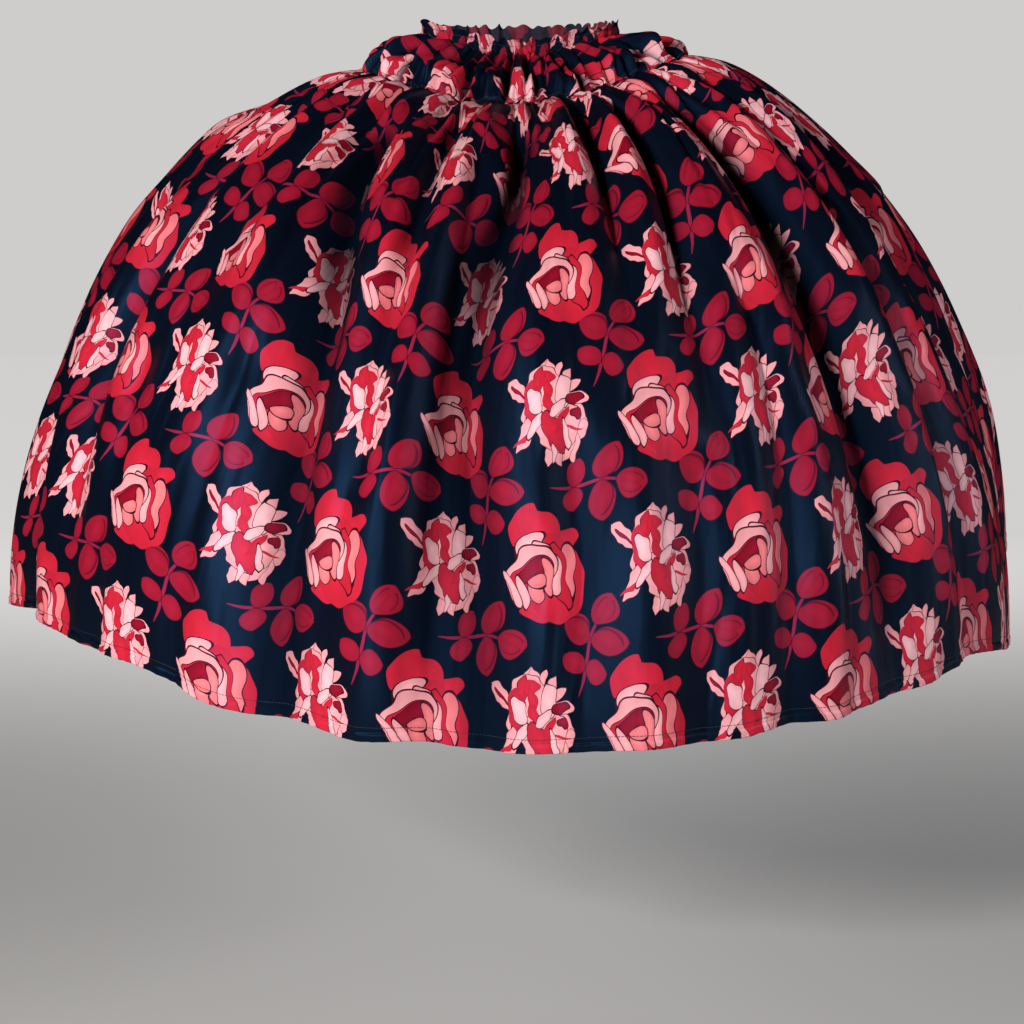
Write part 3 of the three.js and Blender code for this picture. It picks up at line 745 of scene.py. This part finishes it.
def tier_panel(name, node, from_bearing, to_bearing, across_at):
    """A panel of the tier. Its first row of roses lies a little nearer the seam than the repeat has it."""
    def place(along, share):
        bearing = from_bearing + (to_bearing - from_bearing) * along
        points, painted_shade = tier_cloth(bearing, share)
        density = (across_at(bearing + 3, share) - across_at(bearing - 3, share)) / 6
        across = squeezed(across_at(bearing, share), bearing, share, density)
        length = np.interp(share, tier_shares, tier_lengths) * TIER_LENGTH
        length = length + 20 * np.exp(-(((length - 135) / 90) ** 2))
        return points, np.stack([across, length], -1), painted_shade

    piece = cloth_piece(name, TIER_COLUMNS, len(tier_rows) - 1, tier_rows, place)
    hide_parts(node)
    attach(piece, "root")
    return piece


tier_front = tier_panel("skirt_front", "tier_front", -90, 90, front_across)
tier_back = tier_panel("skirt_back", "tier_back", 90, 270, back_across)


# ---------------------------------------------------------------- Yoke
# The short puffed top: a straight strip in two halves, drawn up tightly on an elastic in a casing,
# with a small uneven frill standing above it, and its lower edge sewn to the gathered tier.
WAIST = {"width": 210, "depth": 164, "front_drop": 24}
YOKE_PUFF = 8
YOKE_WIDTH = 660
YOKE_LENGTH = 106
YOKE_HEADING = 20
YOKE_COLUMNS = 340
YOKE_ROSES = FIRST_ROW + ROW_STEP
BAND_HEIGHT = 8
BAND_SHARE = 0.45


def waist_height(bearing):
    return -WAIST["front_drop"] * np.maximum(0, np.cos(np.radians(bearing))) ** 2


def yoke_cloth(bearing, share):
    """The yoke's surface in millimetres, and its painted shade: darker in its troughs and evenly darker
    over the elastic and frill. Share is 1 at the seam to the tier and 0 under the elastic, and below 0
    it runs up over the elastic and the frill."""
    angle = np.radians(bearing)
    below = np.clip(share, 0, 1)
    foot = point_at(bearing, ring_reach(WAIST, bearing), waist_height(bearing) - BAND_HEIGHT / 2)
    seam = point_at(bearing, seam_reach(bearing), seam_height(bearing))
    out = unit(point_at(bearing, 1, 1))
    puff = YOKE_PUFF * np.sin(math.pi * below**1.25)
    crush = np.sin(math.pi * below) ** 0.7
    ruck = 6.2 * crush * np.cos(17 * angle + 2 * np.sin(4 * angle) + 1.2 * np.sin(5 * below))
    ruck = ruck + 4.4 * crush * np.cos(29 * angle + 2.4 * np.sin(7 * angle) + 3 * below)
    ruck = ruck + 2.2 * crush * np.cos(11 * angle + 9 * below + 2 * np.sin(6 * angle))
    tight = 1.1 + 2.8 * np.sin(math.pi * np.clip(0.12 + 0.8 * below, 0, 1))
    fine = tight * np.sin(67 * angle + 2 * np.sin(9 * angle) + 1.5 * below)
    wave = 2.5 * (1 - below) * gather_wave(bearing, 0.6) + 3.6 * below * gather_wave(bearing, 2)
    lower = foot + (seam - foot) * below[..., None] + out * (puff + ruck + fine + wave)[..., None]
    up = np.clip(-share, 0, 1)
    band = np.minimum(up, BAND_SHARE) / BAND_SHARE
    frill = np.clip((up - BAND_SHARE) / (1 - BAND_SHARE), 0, 1)
    ruffle = 41 * angle + 1.8 * np.sin(5 * angle) + 1.2 * np.sin(13 * angle + 1)
    uneven = 0.6 + 0.4 * np.sin(9 * angle + 2 * np.sin(4 * angle))
    reach = ring_reach(WAIST, bearing) + 2.5 * gather_wave(bearing, 0.6)
    reach = reach + 1.2 * np.sin(math.pi * band) + frill * (2 + 3.2 * uneven * np.sin(ruffle + 1.3))
    height = waist_height(bearing) + BAND_HEIGHT * (band - 0.5) + frill * (6.5 + 3.2 * uneven * np.sin(ruffle))
    upper = point_at(bearing, reach, height)
    # Painted shade in the troughs below the elastic, and an even painted shade over the elastic and frill.
    painted_shade_below = smooth(-(ruck + fine + wave), -3, 8) * smooth(share, -0.2, 0.1)
    painted_shade = np.maximum(painted_shade_below, 0.45 * smooth(-share, -0.1, 0.1))
    return np.where((share < 0)[..., None], upper, lower), painted_shade


yoke_rows = np.concatenate([np.linspace(-1, 0, 18)[:-1], np.linspace(0, 1, 34)])


def yoke_panel(name, node, from_bearing, to_bearing):
    """Half of the yoke. A row of roses runs round it, close above the seam to the tier."""
    def place(along, share):
        bearing = from_bearing + (to_bearing - from_bearing) * along
        across = (along - 0.5) * YOKE_WIDTH
        down = YOKE_ROSES - YOKE_LENGTH * (0.94 - np.clip(share, 0, 1)) - YOKE_HEADING * np.clip(-share, 0, 1)
        points, painted_shade = yoke_cloth(bearing, share)
        return points, np.stack([across, down + 0 * across], -1), painted_shade

    piece = cloth_piece(name, YOKE_COLUMNS, len(yoke_rows) - 1, yoke_rows, place)
    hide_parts(node)
    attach(piece, "root")
    return piece


yoke_front = yoke_panel("waist_yoke_front", "yoke_front", -90, 90)
yoke_back = yoke_panel("waist_yoke_back", "yoke_back", 90, 270)


# ---------------------------------------------------------------- Stitches
# Black polyester thread, lock-stitched: one row holds the rolled hem, one runs on the yoke along the
# seam to the tier, and two hold the casing over the elastic.
thread = bpy.data.materials.new("black thread")
thread.use_nodes = True
thread_tree = thread.node_tree
thread_shader = thread_tree.nodes["Principled BSDF"]
thread_shader.inputs["Roughness"].default_value = 0.55
thread_place = thread_tree.nodes.new("ShaderNodeTexCoord")
twist = thread_tree.nodes.new("ShaderNodeTexWave")
twist.bands_direction = "DIAGONAL"
twist.inputs["Scale"].default_value = 900
twist.inputs["Distortion"].default_value = 1
plug(thread_tree, twist.inputs["Vector"], thread_place.outputs["Object"])
strands = blend_of(thread_tree, twist.outputs["Fac"], (0.004, 0.005, 0.012, 1), (0.02, 0.022, 0.034, 1))
plug(thread_tree, thread_shader.inputs["Base Color"], strands)
thread_bump = thread_tree.nodes.new("ShaderNodeBump")
thread_bump.inputs["Strength"].default_value = 0.4
thread_bump.inputs["Distance"].default_value = 0.0004
plug(thread_tree, thread_bump.inputs["Height"], twist.outputs["Fac"])
plug(thread_tree, thread_shader.inputs["Normal"], thread_bump.outputs[0])

STITCH_RADIUS = 0.00034
STITCH_SHARE = 0.72


def stitch_row(shape, surface, from_bearing, to_bearing, share, pitch):
    """Lays short threads end to end along a line of a cloth, half buried in its face."""
    bearing = np.linspace(from_bearing, to_bearing, 6001)
    points = surface(bearing, np.full_like(bearing, share))[0]
    run = np.concatenate([[0], np.cumsum(np.linalg.norm(np.diff(points, axis=0), axis=1))])
    count = int(run[-1] / pitch)
    starts = (np.arange(count) + (1 - STITCH_SHARE) / 2) * pitch
    ends = starts + STITCH_SHARE * pitch
    head = np.stack([np.interp(starts, run, points[:, axis]) for axis in range(3)], -1)
    tail = np.stack([np.interp(ends, run, points[:, axis]) for axis in range(3)], -1)
    for a, b in zip(head, tail):
        way = Vector((b - a) / 1000)
        turn = Vector((0, 0, 1)).rotation_difference(way).to_matrix().to_4x4()
        place = Matrix.Translation(Vector((a + b) / 2000)) @ turn
        bmesh.ops.create_cone(
            shape, cap_ends=True, segments=5, radius1=STITCH_RADIUS, radius2=STITCH_RADIUS,
            depth=way.length, matrix=place,
        )


def stitch_piece(name, node, rows):
    shape = bmesh.new()
    for row in rows:
        stitch_row(shape, *row)
    bmesh.ops.recalc_face_normals(shape, faces=shape.faces)
    mesh = bpy.data.meshes.new(name)
    shape.to_mesh(mesh)
    shape.free()
    mesh.materials.append(thread)
    piece = bpy.data.objects.new(name, mesh)
    bpy.context.scene.collection.objects.link(piece)
    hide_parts(node)
    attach(piece, "root")


stitch_piece("hem_stitches_front", "tier_front", [(tier_cloth, -89.4, 89.4, 0.982, 3.4)])
stitch_piece("hem_stitches_back", "tier_back", [(tier_cloth, 90.6, 269.4, 0.982, 3.4)])
YOKE_STITCH_LINES = ((0.955, 3.2), (0.012, 3.0), (-0.44, 3.0))
stitch_piece("yoke_stitches_front", "yoke_front", [(yoke_cloth, -89, 89, *line) for line in YOKE_STITCH_LINES])
stitch_piece("yoke_stitches_back", "yoke_back", [(yoke_cloth, 91, 269, *line) for line in YOKE_STITCH_LINES])
